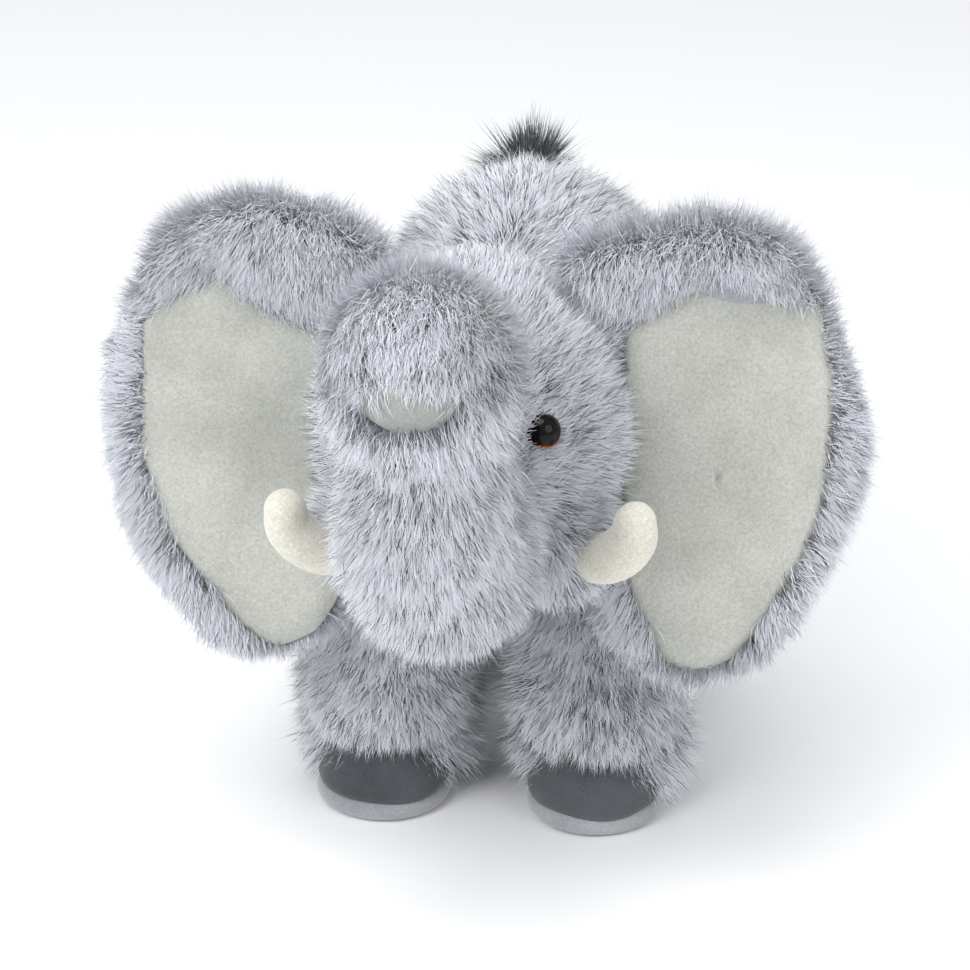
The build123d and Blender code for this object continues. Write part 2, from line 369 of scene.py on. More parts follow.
def sample(mesh, count, rng, keep=None):
    """Random places spread evenly over a mesh, with their normals. keep gives each place's chance."""
    places, normals, triangles = read(mesh)
    corners = places[triangles]
    first, second = corners[:, 1] - corners[:, 0], corners[:, 2] - corners[:, 0]
    areas = np.linalg.norm(np.cross(first, second), axis=1)
    picks = np.searchsorted(np.cumsum(areas) / areas.sum(), rng.random(count))
    picks = np.minimum(picks, len(triangles) - 1)
    u, v = rng.random(count), rng.random(count)
    flip = u + v > 1
    u[flip], v[flip] = 1 - u[flip], 1 - v[flip]
    weights = np.stack([1 - u - v, u, v], 1)[:, :, None]
    found = (corners[picks] * weights).sum(1)
    facing = unit((normals[triangles[picks]] * weights).sum(1))
    if keep is not None:
        chosen = rng.random(count) < keep(found, facing)
        found, facing = found[chosen], facing[chosen]
    return found, facing


def ring_band(a, b, count):
    """Faces that join a ring of count places, numbered from a, to a ring numbered from b."""
    return [[a + k, b + k, b + (k + 1) % count, a + (k + 1) % count] for k in range(count)]


def capped_faces(rings, spokes):
    """Faces of a closed form whose places are its rings, in order, then the middles of its two ends."""
    faces = []
    for a in range(0, (rings - 1) * spokes, spokes):
        b = a + spokes
        faces += [[a + k, a + (k + 1) % spokes, b + (k + 1) % spokes, b + k] for k in range(spokes)]
    last, start, end = (rings - 1) * spokes, rings * spokes, rings * spokes + 1
    for k in range(spokes):
        after = (k + 1) % spokes
        faces.append([start, after, k])
        faces.append([end, last + k, last + after])
    return faces


# Pile

# A strand is a four-sided root half and a three-sided tip half: two places at the root, two at the middle
# and one at the tip.
STRAND_PLACES = 5
STRAND_CORNERS = 7
STRAND_HEIGHTS = np.array([0.0, 0.0, 0.5, 0.5, 1.0])
STRAND_LAYOUT = np.array([-0.006, 0.006, -0.005, 0.005, 0.0])
MIDDLE_WIDTH = 0.85
ROLL_REACH = 0.35
PILE_SINK = 0.6
PILE_FLOOR = 0.4
# How far a strand's shading follows the skin and the strand's own face, and how far it may look up or down.
SKIN_SHADE = 0.6
FACE_SHADE = 0.4
SHADE_SHARES = np.array([1, 1, 0.6])
SWIRL_WIDE = 22


def tangent(vectors, normals):
    """The vectors laid flat on the surface with these normals."""
    return unit(vectors - normals * (vectors * normals).sum(1, keepdims=True))


def strand_mesh(name, places, shade, tones, turned_over):
    """One mesh of all strands, with its shading normals and its OFBake layout of tone by height."""
    total = len(tones)
    order = np.where(
        turned_over[:, None], np.array([[1, 0, 2, 3, 3, 2, 4]]), np.array([[0, 1, 3, 2, 2, 3, 4]])
    )
    loops = (order + STRAND_PLACES * np.arange(total)[:, None]).ravel()
    uv = np.stack([
        np.repeat(tones, STRAND_PLACES) + np.tile(STRAND_LAYOUT, total),
        np.tile(STRAND_HEIGHTS, total),
    ], 1)[loops]
    mesh = bpy.data.meshes.new(name)
    mesh.vertices.add(STRAND_PLACES * total)
    mesh.vertices.foreach_set("co", metres(places).astype(np.float32).ravel())
    mesh.loops.add(STRAND_CORNERS * total)
    mesh.loops.foreach_set("vertex_index", loops.astype(np.int32))
    mesh.polygons.add(2 * total)
    starts = (np.array([[0, 4]]) + STRAND_CORNERS * np.arange(total)[:, None]).ravel()
    mesh.polygons.foreach_set("loop_start", starts.astype(np.int32))
    mesh.update(calc_edges=True)
    mesh.uv_layers.new(name="OFBake")
    mesh.uv_layers["OFBake"].data.foreach_set("uv", uv.astype(np.float32).ravel())
    smooth_faces(mesh)
    mesh.normals_split_custom_set_from_vertices(np.repeat(shade, STRAND_PLACES, axis=0).astype(np.float32))
    return mesh


def grow(
    name, mesh, material, locks, seed, comb, length, lay=0.5, per_lock=24, spread=3.2, width=0.145,
    keep=None, droop=0.12, gather=0.3, ruffle=0.32,
):
    """Pile over a mesh: locks of fine tapered strands that leave the skin and lean the way it is combed.

    comb and keep are given places and normals, and length is given places or is one length. lay is how far a
    lock leans, spread is its radius, and gather draws its tips together.
    """
    rng = np.random.default_rng(seed)
    centre, normal = sample(mesh, locks, rng, keep)
    count = len(centre)
    way = tangent(comb(centre, normal), normal)
    side = np.cross(normal, way)
    swirl = drift(centre, SWIRL_WIDE, seed + 3)
    turn = (ruffle * swirl[:, 0] + ruffle * 0.8 * rng.normal(size=count))[:, None]
    way = unit(way * np.cos(turn) + side * np.sin(turn))
    side = np.cross(normal, way)
    lean = np.clip(lay + 0.16 * swirl[:, 1] + 0.14 * rng.normal(size=count), 0.05, 0.95)[:, None]
    tall = (length(centre) if callable(length) else np.full(count, float(length)))
    tall = tall * (1 + 0.12 * swirl[:, 2] + 0.13 * rng.normal(size=count))
    hue = np.clip(0.5 + 0.14 * swirl[:, 0] + 0.10 * rng.normal(size=count), 0.05, 0.95)

    which = np.repeat(np.arange(count), per_lock)
    total = len(which)
    radius = spread * np.sqrt(rng.random(total))[:, None]
    around = rng.uniform(0, 2 * math.pi, total)[:, None]
    offset = (way[which] * np.cos(around) + side[which] * np.sin(around)) * radius
    out, along, lean = normal[which], way[which], lean[which]
    jitter = rng.normal(size=(total, 3)) * 0.12
    rise = unit(out * (1 - 0.55 * lean) + along * 0.55 * lean + offset * 0.10 + jitter)
    fall = unit(out * (1 - lean) + along * lean * 1.25 + jitter * 1.6 - UP * droop)
    size = (tall[which] * (1 + 0.14 * rng.normal(size=total)))[:, None]
    base = centre[which] + offset - out * PILE_SINK
    middle = base + rise * size * 0.5 - offset * gather * 0.35
    tip = middle + fall * size * 0.5 - offset * gather * 0.65
    roll = rng.uniform(-ROLL_REACH, ROLL_REACH, total)[:, None]
    flat = unit(np.cross(fall, out) + 1e-5)
    across = unit(flat * np.cos(roll) + np.cross(fall, flat) * np.sin(roll))
    half = (width * (1 + 0.25 * rng.normal(size=total)))[:, None]
    places = np.stack([
        base - across * half,
        base + across * half,
        middle - across * half * MIDDLE_WIDTH,
        middle + across * half * MIDDLE_WIDTH,
        tip,
    ], 1).reshape(-1, 3)
    places[:, 2] = np.maximum(places[:, 2], PILE_FLOOR)
    facing = unit(np.cross(across, fall))
    facing *= np.sign((facing * out).sum(1, keepdims=True) + 1e-9)
    shade = unit((SKIN_SHADE * out + FACE_SHADE * facing) * SHADE_SHARES)
    turned_over = (np.cross(across, rise) * out).sum(1) <= 0
    tones = np.clip(hue[which] + 0.05 * rng.normal(size=total), 0.02, 0.98)
    return new_object(name, strand_mesh(name, places, shade, tones, turned_over), material)


def attach(piece, body, nodes=()):
    """Rides a piece on its body, and hides the frame's nodes that it stands for."""
    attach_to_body(piece, body)
    if nodes:
        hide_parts(*nodes)


# Colours

# The pile's colours up a strand, from root to tip: the darker root is partly painted shade deep in the pile.
PILE_ROOT_PAINTED_SHADE = (0.38, 0.38, 0.425)
PILE_MIDDLE = (0.57, 0.58, 0.635)
PILE_TIP = (0.79, 0.815, 0.86)


def make_materials():
    return {
        "pile": pile_material("pile_grey", PILE_ROOT_PAINTED_SHADE, PILE_MIDDLE, PILE_TIP),
        "backing": velour_material("pile_backing", (0.30, 0.30, 0.34), (0.40, 0.40, 0.44)),
        "velour": velour_material("velour_grey", (0.36, 0.367, 0.333), (0.45, 0.455, 0.418)),
        # The trunk's pad: the ear panel's grey velour made darker, painted shade for the shadow that lies on
        # the pad.
        "pad": velour_material("velour_pad_painted_shade", (0.26, 0.268, 0.25), (0.33, 0.34, 0.318)),
        "cream": velour_material("plush_cream", (0.59, 0.567, 0.48), (0.68, 0.66, 0.577)),
        "toe": velour_material(
            "toe_charcoal", (0.045, 0.048, 0.055), (0.085, 0.089, 0.1), speck=1100, sheen=0.2
        ),
        "sole": velour_material("sole_grey", (0.26, 0.27, 0.29), (0.37, 0.38, 0.40), speck=1100),
        # Charcoal bristles: their paler tips are a painted highlight.
        "bristle": pile_material(
            "bristle_charcoal", (0.02, 0.021, 0.024), (0.05, 0.055, 0.06), (0.16, 0.175, 0.18), sheen=0.1
        ),
    }


# Torso

BACK = np.array([5.0, 32.0, 166.0])
BELLY = np.array([0.0, 34.0, 144.0])
TORSO_LOCKS = 9500
TORSO_PILE = 12.5
NECK_CLEAR = 48
LEG_TOP = 95


def make_torso(kit):
    eggs = [(BACK, (51, 85, 60)), (BELLY, (55, 78, 50))]
    for side in SIDES.values():
        eggs.append(((side * 34, -14, 112), (26, 28, 34)))
        eggs.append(((side * 34, 82, 112), (27, 30, 36)))
    skin_mesh = blob("torso_skin", eggs, 3.5, 12, lump=1.2, seed=11)

    def comb(places, normals):
        return unit((places - BACK) * ACROSS) * 0.35 + np.array([0.0, 0.6, -0.75])

    def keep(places, normals):
        clear = np.linalg.norm(places - HEAD, axis=1) > NECK_CLEAR
        return clear * np.where(places[:, 2] < LEG_TOP, 0.5, 1.0)

    for name, side in SIDES.items():
        def half(places, normals, side=side):
            return keep(places, normals) * (places[:, 0] * side > 0)
        fur = grow(
            f"torso_pile_{name}", skin_mesh, kit["pile"], TORSO_LOCKS, 21 + side, comb, TORSO_PILE,
            lay=0.45, spread=3.4, width=0.18, keep=half,
        )
        attach(fur, "torso", [f"torso_skin_{name}"])
    skin = new_object("torso_skin", skin_mesh, kit["backing"])
    attach(skin, "torso", ["torso_stuffing", "belly_gusset"])


# Head

TRUNK_ROOT = np.array([0.0, -98.0, 155.0])
EYE_WAY = unit(np.array([29.0, -39.0, 12.0]))
EYE_BASE = 51.5
EYE_RADIUS = 6.2
EYE_HEIGHT = 5.0
EYE_SKIRT = 3.0
IRIS_TURN = 0.45
EYE_CLEAR = 6.8
HEAD_LOCKS = 5600
HEAD_PILE = 11.5
HEAD_BACK = -20


def eye_way(side):
    """The way that an eye looks, from the head's middle."""
    return EYE_WAY * np.array([side, 1, 1])


def eye_place(side):
    """The middle of an eye's base."""
    return HEAD + eye_way(side) * EYE_BASE


def make_head(kit):
    eggs = [(HEAD, (50, 50, 50))]
    for side in SIDES.values():
        eggs.append(((side * 30, -82, 142), (19, 20, 18)))
    skin_mesh = blob("head_skin", eggs, 2.8, 10, lump=0.7, seed=31)
    eyes = [eye_place(side) for side in SIDES.values()]

    def eye_distance(places):
        return np.min([np.linalg.norm(places - eye, axis=1) for eye in eyes], axis=0)

    def comb(places, normals):
        return unit(places - TRUNK_ROOT) + np.array([0.0, 0.2, 0.0])

    def keep(places, normals):
        near_trunk = np.linalg.norm((places - TRUNK_ROOT) * np.array([1, 0.6, 1]), axis=1) < 22
        behind = places[:, 1] > HEAD_BACK
        return (eye_distance(places) > EYE_CLEAR) * ~near_trunk * np.where(behind, 0.3, 1.0)

    def length(places):
        return HEAD_PILE - 6.5 * np.exp(-((eye_distance(places) - 5) / 8) ** 2)

    fur = grow("head_pile", skin_mesh, kit["pile"], HEAD_LOCKS, 33, comb, length, keep=keep)
    attach(fur, "head", ["head_skin_left", "head_skin_right", "head_gusset"])
    skin = new_object("head_skin", skin_mesh, kit["backing"])
    attach(skin, "head", ["head_stuffing"])


# Trunk

TRUNK_PATH = np.array([
    (0, -84, 158), (0, -104, 155), (-0.5, -122, 153), (-1, -139, 160), (-2, -153, 181), (-2.5, -160, 209),
    (-3, -165, 238),
], float)
TRUNK_RADII = np.array([25, 25, 26, 26.5, 24.5, 21, 26.5], float)
TRUNK_END = TRUNK_PATH[-1]
PAD_WAY = unit(np.array([0.0, -0.995, -0.10]))
PAD_UP = unit(np.array([0.0, -0.10, 0.995]))
PAD_ACROSS = np.cross(PAD_UP, PAD_WAY)
PAD_HALF_WIDE = 40.0
PAD_HALF_TALL = 21.0
PAD_RINGS = 16
PAD_SPOKES = 72
PAD_BACK = -2.5
TRUNK_LOCKS = 5800
TRUNK_PILE = 11.0
TRUNK_STEPS = 34


def curve_points(points, count):
    """Places spread along a smooth curve through the points, ends included."""
    points = np.asarray(points, float)
    padded = np.vstack([2 * points[0] - points[1], points, 2 * points[-1] - points[-2]])
    place = np.linspace(0, len(points) - 1, count)
    cell = np.minimum(place.astype(int), len(points) - 2)
    t = (place - cell)[:, None]
    a, b, c, d = (padded[cell + k] for k in range(4))
    square, cube = 2 * a - 5 * b + 4 * c - d, 3 * b - a - 3 * c + d
    return 0.5 * (2 * b + (c - a) * t + square * t**2 + cube * t**3)


def evenly(values, count):
    """The values spread evenly over count steps."""
    return np.interp(np.linspace(0, 1, count), np.linspace(0, 1, len(values)), values)


def make_trunk(kit):
    centres = curve_points(TRUNK_PATH, TRUNK_STEPS)
    radii = evenly(TRUNK_RADII, TRUNK_STEPS)
    balls = [(centre, (radius,) * 3) for centre, radius in zip(centres, radii)]
    skin_mesh = blob("trunk_skin", balls, 2.8, 8, lump=0.8, seed=41)

    def from_pad(places):
        """How far a place is from the pad's middle, 1 at the pad's rim, and its height above that."""
        away = places - TRUNK_END
        ahead, above = away @ PAD_WAY, away @ PAD_UP
        sideways = np.degrees(np.arctan2(away @ PAD_ACROSS, ahead)) / PAD_HALF_WIDE
        upwards = np.degrees(np.arctan2(above, ahead)) / PAD_HALF_TALL
        near = (np.linalg.norm(away, axis=1) < 32) & (ahead > 0)
        return np.where(near, np.hypot(sideways, upwards), 9.0), above

    def comb(places, normals):
        dome = smoothstep(222, 246, places[:, 2])[:, None]
        low = smoothstep(150, 130, places[:, 2])[:, None]
        behind = smoothstep(-6, 12, places[:, 1] - TRUNK_END[1]) * smoothstep(222, 240, places[:, 2])
        out = (places - TRUNK_END) * ACROSS * 0.02
        return (
            np.array([0, -0.1, -0.95]) + dome * np.array([0, -0.9, 0.35]) + low * np.array([0, 0.6, 0])
            + out + behind[:, None] * UP * 2.4
        )

    def keep(places, normals):
        reach, above = from_pad(places)
        open_pad = reach < np.where(above > 0, 0.8, 1.0)
        inside = np.linalg.norm(places - HEAD, axis=1) < 46
        return ~(open_pad | inside) * 1.0

    def length(places):
        reach, above = from_pad(places)
        fringe = np.exp(-((reach - 1.4) / 0.4) ** 2) * (above < -3)
        return TRUNK_PILE + 3.0 * fringe - 2.5 * smoothstep(2.2, 1.4, reach) * (above > 0)

    fur = grow("trunk_pile", skin_mesh, kit["pile"], TRUNK_LOCKS, 43, comb, length, keep=keep)
    skin = new_object("trunk_skin", skin_mesh, kit["backing"])
    for piece in (fur, skin):
        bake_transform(piece)
    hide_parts("trunk_base_skin_left", "trunk_base_skin_right", "trunk_tip_skin")
    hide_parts("trunk_base_stuffing", "trunk_tip_stuffing")
    make_pad(kit, skin_mesh)


def make_pad(kit, skin_mesh):
    """A short-pile pad that lies on the trunk's end, its rim sunk into the pile."""
    places, _, triangles = read(skin_mesh)
    tree = BVHTree.FromPolygons([tuple(place) for place in places], [tuple(face) for face in triangles])
    rings, spokes = PAD_RINGS, PAD_SPOKES

    def raised(ring, angle, height):
        sideways = math.radians(PAD_HALF_WIDE + 2) * ring * math.cos(angle)
        upwards = math.radians(PAD_HALF_TALL + 2) * ring * math.sin(angle)
        way = unit(PAD_WAY + PAD_ACROSS * math.tan(sideways) + PAD_UP * math.tan(upwards))
        distance = tree.ray_cast(Vector(TRUNK_END), Vector(way))[3]
        return TRUNK_END + way * (distance + height)

    def front(ring):
        return 1.5 + 1.6 * (1 - ring**2) - 3.0 * float(smoothstep(0.88, 1, ring))

    points, faces = [raised(0, 0, front(0)), raised(0, 0, PAD_BACK)], []
    for height in (front, lambda ring: PAD_BACK):
        for ring in np.linspace(0, 1, rings + 1)[1:]:
            points += [raised(ring, angle, height(ring)) for angle in circle(spokes)]
    for layer in range(2):
        first = 2 + layer * rings * spokes
        faces += [[layer, first + k, first + (k + 1) % spokes] for k in range(spokes)]
        for ring in range(rings - 1):
            faces += ring_band(first + ring * spokes, first + (ring + 1) * spokes, spokes)
    faces += ring_band(2 + (rings - 1) * spokes, 2 + (2 * rings - 1) * spokes, spokes)
    mesh = new_mesh("trunk_pad", points, faces)
    outward(mesh)
    pad = new_object("trunk_pad", mesh, kit["pad"])
    attach(pad, "trunk_tip", ["trunk_tip_pad"])


# Ears

EAR_TILT = math.radians(8.0)
EAR_FRONT = np.array([0.0, -math.cos(EAR_TILT), math.sin(EAR_TILT)])
EAR_UP = np.array([0.0, math.sin(EAR_TILT), math.cos(EAR_TILT)])
# Outlines run anticlockwise from the inner bottom, as far out from the head's middle and as far up the ear:
# the pile's reach, and the short-pile panel. The two ears were cut and stuffed a little differently.
EAR_RIM = {
    "right": [
        (44, -84), (62, -96), (82, -101), (94, -96), (106, -84), (120, -67), (132, -48),
        (138, -13), (136, 20), (127, 43), (112, 66), (84, 81), (64, 79), (44, 71),
        (25, 56), (34, 44), (41, 30), (42, 0), (42, -50),
    ],
    "left": [
        (44, -80), (62, -93), (81, -101), (106, -90), (120, -73), (133, -45), (142, -17),
        (143, 6), (130, 45), (117, 66), (102, 76), (84, 80), (57, 76), (40, 70),
        (23, 60), (33, 44), (41, 30), (42, 0), (42, -50),
    ],
}
EAR_PANEL = {
    "right": [
        (47, -68), (56, -84), (70, -91), (81, -88), (92, -77), (102, -64), (110, -53), (117, -38),
        (122, -17), (121, 33), (93, 53), (82, 44), (66, 34), (50, 29), (47, 0), (46, -40),
    ],
    "left": [
        (56, -60), (62, -74), (71, -88), (84, -91), (98, -83), (107, -71), (112, -60), (122, -40),
        (127, -22), (129, 1), (127, 24), (120, 49), (91, 58), (80, 59), (66, 47), (53, 38),
        (52, 0), (53, -30),
    ],
}
EAR_MIDDLE = np.array([93.0, 4.0])
PANEL_MIDDLE = np.array([88.0, -16.0])
EAR_POINTS = 180
EAR_FRONT_LOCKS = 9000
EAR_BACK_LOCKS = 4300
EAR_PILE = 11.0
RIM_INSET = 8.0
RIM_ROLL = 0.98
PANEL_BACK = 1.0


def rounded(corners, count, soft):
    """A smooth closed outline through a polygon, its corners softened over a length in millimetres."""
    line = np.asarray(corners, float)
    closed = np.vstack([line, line[:1]])
    steps = np.concatenate([[0], np.cumsum(np.linalg.norm(np.diff(closed, axis=0), axis=1))])
    marks = np.linspace(0, steps[-1], count, endpoint=False)
    even = np.stack([np.interp(marks, steps, closed[:, k]) for k in range(2)], 1)
    gap = np.minimum(marks, steps[-1] - marks)
    kernel = np.exp(-0.5 * (gap / soft) ** 2)
    kernel /= kernel.sum()
    return np.real(np.fft.ifft(np.fft.fft(even, axis=0) * np.fft.fft(kernel)[:, None], axis=0))


def inward_ways(line):
    """The unit way inwards at each point of an outline that runs anticlockwise."""
    run = np.roll(line, -1, axis=0) - np.roll(line, 1, axis=0)
    run /= np.linalg.norm(run, axis=1, keepdims=True)
    return np.stack([-run[:, 1], run[:, 0]], 1)


def ear_places(side, flat, depth):
    """Ear coordinates, out from the head's middle and up the ear, and depth to the front, as places."""
    level = HEAD + np.outer(flat[:, 0] * side, ACROSS)
    return level + np.outer(flat[:, 1], EAR_UP) + np.outer(depth, EAR_FRONT)


def ear_flat(places, side):
    """Places as ear coordinates and depth."""
    away = places - HEAD
    return np.stack([away[:, 0] * side, away @ EAR_UP], 1), away @ EAR_FRONT


def ring_mesh(name, side, rings, cap_front, cap_back):
    """A closed form from outlines of equal count, front to back, each (flat places, depth), and two caps."""
    count = len(rings[0][0])
    rows = [ear_places(side, flat, depth) for flat, depth in rings]
    places = np.vstack(rows + [
        ear_places(side, cap_front[0][None], np.array([cap_front[1]])),
        ear_places(side, cap_back[0][None], np.array([cap_back[1]])),
    ])
    faces = []
    for ring in range(len(rings) - 1):
        faces += ring_band(ring * count, (ring + 1) * count, count)
    front, back = len(places) - 2, len(places) - 1
    last = (len(rings) - 1) * count
    for k in range(count):
        after = (k + 1) % count
        faces.append([front, k, after])
        faces.append([back, last + after, last + k])
    if side < 0:
        faces = [face[::-1] for face in faces]
    mesh = new_mesh(name, places, faces)
    mesh.validate()
    smooth_faces(mesh)
    return mesh


def inside_outline(flat, line):
    """Signed distance to an outline, positive inside, for each flat place."""
    gaps = flat[:, None, :] - line[None, :, :]
    nearest = np.argmin((gaps**2).sum(2), axis=1)
    return ((flat - line[nearest]) * inward_ways(line)[nearest]).sum(1)


def ear_skin(name, side):
    """The stuffed ear under its pile: thin, with a thicker roll along the top of its front."""
    rim = rounded(EAR_RIM[name], EAR_POINTS, 5.0)
    edge = rounded(rim + inward_ways(rim) * RIM_INSET, EAR_POINTS, 3.0)
    rings = []
    for share in np.linspace(0.1, 1, 18):
        flat = EAR_MIDDLE + (edge - EAR_MIDDLE) * share
        thick = 3.0 + 4.5 * smoothstep(30, 62, flat[:, 1])
        rings.append((flat, thick * np.sqrt(1 - RIM_ROLL * share**12)))
    for share in np.linspace(1, 0.1, 18)[1:]:
        flat = EAR_MIDDLE + (edge - EAR_MIDDLE) * share
        rings.append((flat, -(3.0 + 1.5 * (1 - share**2)) * np.sqrt(1 - RIM_ROLL * share**12)))
    return ring_mesh(f"ear_skin_{name}", side, rings, (EAR_MIDDLE, 3.0), (EAR_MIDDLE, -4.5))


def make_ear(kit, name, side):
    skin_mesh = ear_skin(name, side)
    panel_line = rounded(EAR_PANEL[name], EAR_POINTS, 3.0)

    def comb(places, normals):
        flat, depth = ear_flat(places, side)
        away = unit(flat - PANEL_MIDDLE)
        out = away * np.where((depth > 0)[:, None], 1.0, 0.6)
        over = smoothstep(18, 52, flat[:, 1])[:, None]
        sideways = np.outer(out[:, 0] * side, ACROSS)
        spread_out = sideways + np.outer(out[:, 1] - 0.35, EAR_UP)
        hang = sideways * 0.7 + EAR_FRONT - np.outer(normals @ EAR_FRONT, EAR_UP)
        return spread_out * (1 - over) + hang * over

    def keep(places, normals):
        flat, depth = ear_flat(places, side)
        over_panel = (inside_outline(flat, panel_line) > 0.8) & (depth > 0)
        return ~over_panel * 1.0

    def length(places):
        flat, depth = ear_flat(places, side)
        border = smoothstep(12, 2, -inside_outline(flat, panel_line)) * (depth > 0)
        trim = 1 - 0.45 * border * smoothstep(0, 30, flat[:, 1])
        return (EAR_PILE + 2.0 * smoothstep(35, 65, flat[:, 1])) * trim

    for part, front, locks in (("front", True, EAR_FRONT_LOCKS), ("back", False, EAR_BACK_LOCKS)):
        def shown(places, normals, front=front):
            flat, depth = ear_flat(places, side)
            return keep(places, normals) * ((depth > 0) == front)
        fur = grow(
            f"ear_pile_{part}_{name}", skin_mesh, kit["pile"], locks, 53 + side, comb, length,
            lay=0.45, keep=shown,
        )
        attach(fur, f"ear_{name}", [f"ear_back_{name}"])
    skin = new_object(f"ear_skin_{name}", skin_mesh, kit["backing"])
    attach(skin, f"ear_{name}", [f"ear_batting_{name}"])
    make_ear_panel(kit, name, side, panel_line)


def make_ear_panel(kit, name, side, line):
    """A softly dented cushion inside the outline, its edge turned down into the pile."""
    shares = np.concatenate([np.linspace(0.04, 0.9, 34), [0.93, 0.96, 0.98, 0.99, 1.0]])
    rings = []
    for share in shares:
        flat = PANEL_MIDDLE + (line - PANEL_MIDDLE) * share
        places = np.column_stack([flat, np.zeros(len(flat))])
        dent = drift(places, 24, 61 + side)[:, 0] * 2.2 + drift(places, 10, 63 + side)[:, 1] * 0.5
        puff = 5.6 + 1.2 * (1 - share**3) + np.clip(dent, -2.2, 2.2) * (1 - share**5)
        rings.append((flat, puff - 3.0 * smoothstep(0.93, 1.0, share)))
    for share in shares[::-1]:
        flat = PANEL_MIDDLE + (line - PANEL_MIDDLE) * share
        rings.append((flat, np.full(len(flat), PANEL_BACK)))
    mesh = ring_mesh(f"ear_panel_{name}", side, rings, (PANEL_MIDDLE, 6.1), (PANEL_MIDDLE, PANEL_BACK))
    panel = new_object(f"ear_panel_{name}", mesh, kit["velour"])
    attach(panel, f"ear_{name}", [f"ear_front_{name}"])


# Tusks

TUSK_PATH = [
    (28, -76, 138), (39, -91, 137.5), (48, -99, 139), (55, -104, 144), (59.5, -107, 151), (60.5, -109, 158),
]
TUSK_RADII = [8.5, 9.0, 9.2, 9.0, 8.4, 7.4]
TUSK_SHIFT = {"left": (2.0, 3.0), "right": (0.0, 0.0)}
TIP_STEPS = 6


def tube(name, path, radii, count, spokes):
    """A closed tube along a smooth path, with a round end."""
    centres = curve_points(path, count)
    sizes = evenly(radii, count)
    ways = unit(np.gradient(centres, axis=0))
    end, size, way = centres[-1], sizes[-1], ways[-1]
    for k in range(1, TIP_STEPS + 1):
        angle = math.pi / 2 * k / (TIP_STEPS + 0.35)
        centres = np.vstack([centres, end + way * size * math.sin(angle)])
        sizes = np.append(sizes, size * math.cos(angle))
        ways = np.vstack([ways, way])
    side = unit(np.cross(ways[0], UP))
    angles = circle(spokes)
    rows = []
    for centre, size, way in zip(centres, sizes, ways):
        side = unit(side - way * (side @ way))
        top = np.cross(way, side)
        rows.append(centre + size * (np.outer(np.cos(angles), side) + np.outer(np.sin(angles), top)))
    places = np.vstack(rows + [centres[:1], centres[-1:] + ways[-1:] * sizes[-1] * 0.4])
    mesh = new_mesh(name, places, capped_faces(len(rows), spokes))
    mesh.validate()
    smooth_faces(mesh)
    return mesh


def make_tusk(kit, name, side):
    sideways, upwards = TUSK_SHIFT[name]
    path = [(side * x + sideways, y, z + upwards) for x, y, z in TUSK_PATH]
    mesh = tube(f"tusk_{name}", path, TUSK_RADII, 44, 40)
    places, normals, _ = read(mesh)
    push = drift(places, 14, 71 + side)[:, :1] * 0.35 + drift(places, 5, 73 + side)[:, :1] * 0.12
    write_places(mesh, places + normals * push)
    outward(mesh)
    tusk = new_object(f"tusk_{name}", mesh, kit["cream"])
    attach(tusk, "head", [f"tusk_cover_{name}", f"tusk_stuffing_{name}"])


# Eyes


def eye_material():
    """Black gloss with an amber iris that shows as a thin crescent low on the dome."""
    material, nodes, links, shader = new_material("eye_glass")
    place, split = split_layout(nodes, links)
    iris = ramp(nodes, [
        (0.0, (0.004, 0.003, 0.003)), (0.5, (0.004, 0.003, 0.003)), (0.60, (0.30, 0.10, 0.012)),
        (0.75, (0.85, 0.34, 0.045)), (0.87, (0.40, 0.14, 0.015)), (0.95, (0.01, 0.006, 0.004)),
    ])
    links.new(split.outputs["X"], iris.inputs["Fac"])
    grain = nodes.new("ShaderNodeTexNoise")
    grain.inputs["Scale"].default_value = 60.0
    links.new(place.outputs["UV"], grain.inputs["Vector"])
    colour = multiplied(nodes, links, iris.outputs["Color"], grain.outputs["Color"], share=0.3)
    links.new(colour, shader.inputs["Base Color"])
    shader.inputs["Roughness"].default_value = 0.08
    shader.inputs["Specular IOR Level"].default_value = 0.15
    shader.inputs["Coat Weight"].default_value = 0.08
    shader.inputs["Coat Roughness"].default_value = 0.02
    return material


def make_eye(material, name, side):
    """A dome with a short skirt. U of its layout grows to the rim, and reaches the iris only low down."""
    rings, spokes = 24, 64
    way = eye_way(side)
    across = unit(np.cross(UP, way))
    up = np.cross(way, across)
    angles = circle(spokes)
    around = np.outer(np.cos(angles), across) + np.outer(np.sin(angles), up)
    low = smoothstep(0.3, -0.9, np.sin(angles - side * IRIS_TURN))
    rows, uv, faces = [], [], []
    for ring in range(rings + 1):
        lean = math.pi / 2 * ring / rings
        rise = way * EYE_HEIGHT * math.cos(lean)
        rows.append(eye_place(side) + rise + EYE_RADIUS * math.sin(lean) * around)
        uv.append(np.column_stack([ring / rings * (0.5 + 0.5 * low), np.full(spokes, 0.5)]))
        faces += ring_band(ring * spokes, (ring + 1) * spokes, spokes)
    rows.append(rows[-1] - way * EYE_SKIRT)
    uv.append(np.column_stack([np.full(spokes, 1.0), np.full(spokes, 0.5)]))
    coords = np.vstack(uv)
    mesh = new_mesh(f"eye_dome_{name}", np.vstack(rows), faces)
    layer = mesh.uv_layers.new(name="OFBake")
    index = np.empty(len(mesh.loops), np.int32)
    mesh.loops.foreach_get("vertex_index", index)
    layer.data.foreach_set("uv", coords[index].astype(np.float32).ravel())
    build = bmesh.new()
    build.from_mesh(mesh)
    bmesh.ops.remove_doubles(build, verts=build.verts, dist=1e-7)
    bmesh.ops.holes_fill(build, edges=[edge for edge in build.edges if edge.is_boundary])
    build.to_mesh(mesh)
    build.free()
    outward(mesh)
    eye = new_object(f"eye_dome_{name}", mesh, material)
    attach(eye, "head", [f"eye_{name}"])


# Legs

